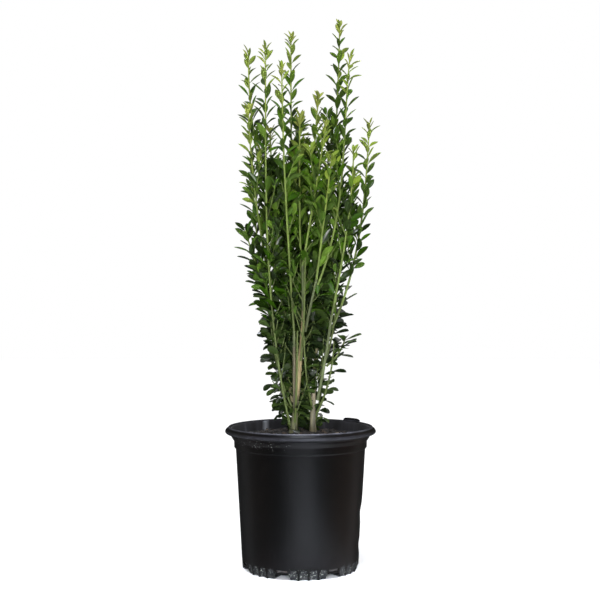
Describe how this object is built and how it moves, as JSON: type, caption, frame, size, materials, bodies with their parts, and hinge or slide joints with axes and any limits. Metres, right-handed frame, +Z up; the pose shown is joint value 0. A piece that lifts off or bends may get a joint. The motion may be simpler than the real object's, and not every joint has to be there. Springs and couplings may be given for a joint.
{
  "type": "potted columnar japanese holly",
  "caption": "Narrow upright evergreen shrub with small oval green leaves on slender stems, growing from two trunks in a round black nursery pot of bark soil.",
  "frame": {"origin": "on the ground under the middle of the pot", "axes": "+Z up along the pot's axis, -Y towards the front that the picture shows, +X to its right"},
  "size_m": [0.2304, 0.2304, 0.8456],
  "materials": {
    "pot_plastic": "semi-matt black moulded plastic",
    "soil": "dark shredded bark potting mix",
    "bark": "smooth tan to greenish grey bark",
    "foliage": "leathery leaves, semi-gloss above, on green stems"
  },
  "bodies": {
    "root": {"pot": "pot_plastic", "soil": "soil", "trunk_left": "bark", "trunk_right": "bark", "bough_left": "bark", "bough_front": "bark", "bough_mid": "bark", "bough_centre": "bark", "bough_right": "bark", "bough_rear_right": "bark", "bough_rear_mid": "bark", "bough_rear_left": "bark", "shoot_left_tall": "foliage", "shoot_left_outer": "foliage", "shoot_front_left": "foliage", "shoot_rear_tall": "foliage", "shoot_middle": "foliage", "shoot_rear_middle": "foliage", "shoot_front_right": "foliage", "shoot_tallest": "foliage", "shoot_right_tall": "foliage", "shoot_far_right": "foliage", "shoot_right": "foliage", "shoot_left_short": "foliage", "shoot_left_low": "foliage", "shoot_front_mid": "foliage", "shoot_right_low": "foliage", "shoot_back_left": "foliage", "shoot_back_mid": "foliage", "shoot_back_right": "foliage", "shoot_back_far": "foliage", "shoot_back_outer": "foliage", "sprig_1": "foliage", "sprig_2": "foliage", "sprig_3": "foliage", "sprig_4": "foliage", "sprig_5": "foliage", "sprig_6": "foliage", "sprig_7": "foliage", "sprig_8": "foliage", "sprig_9": "foliage", "sprig_10": "foliage", "sprig_11": "foliage", "sprig_12": "foliage"}
  },
  "joints": []
}
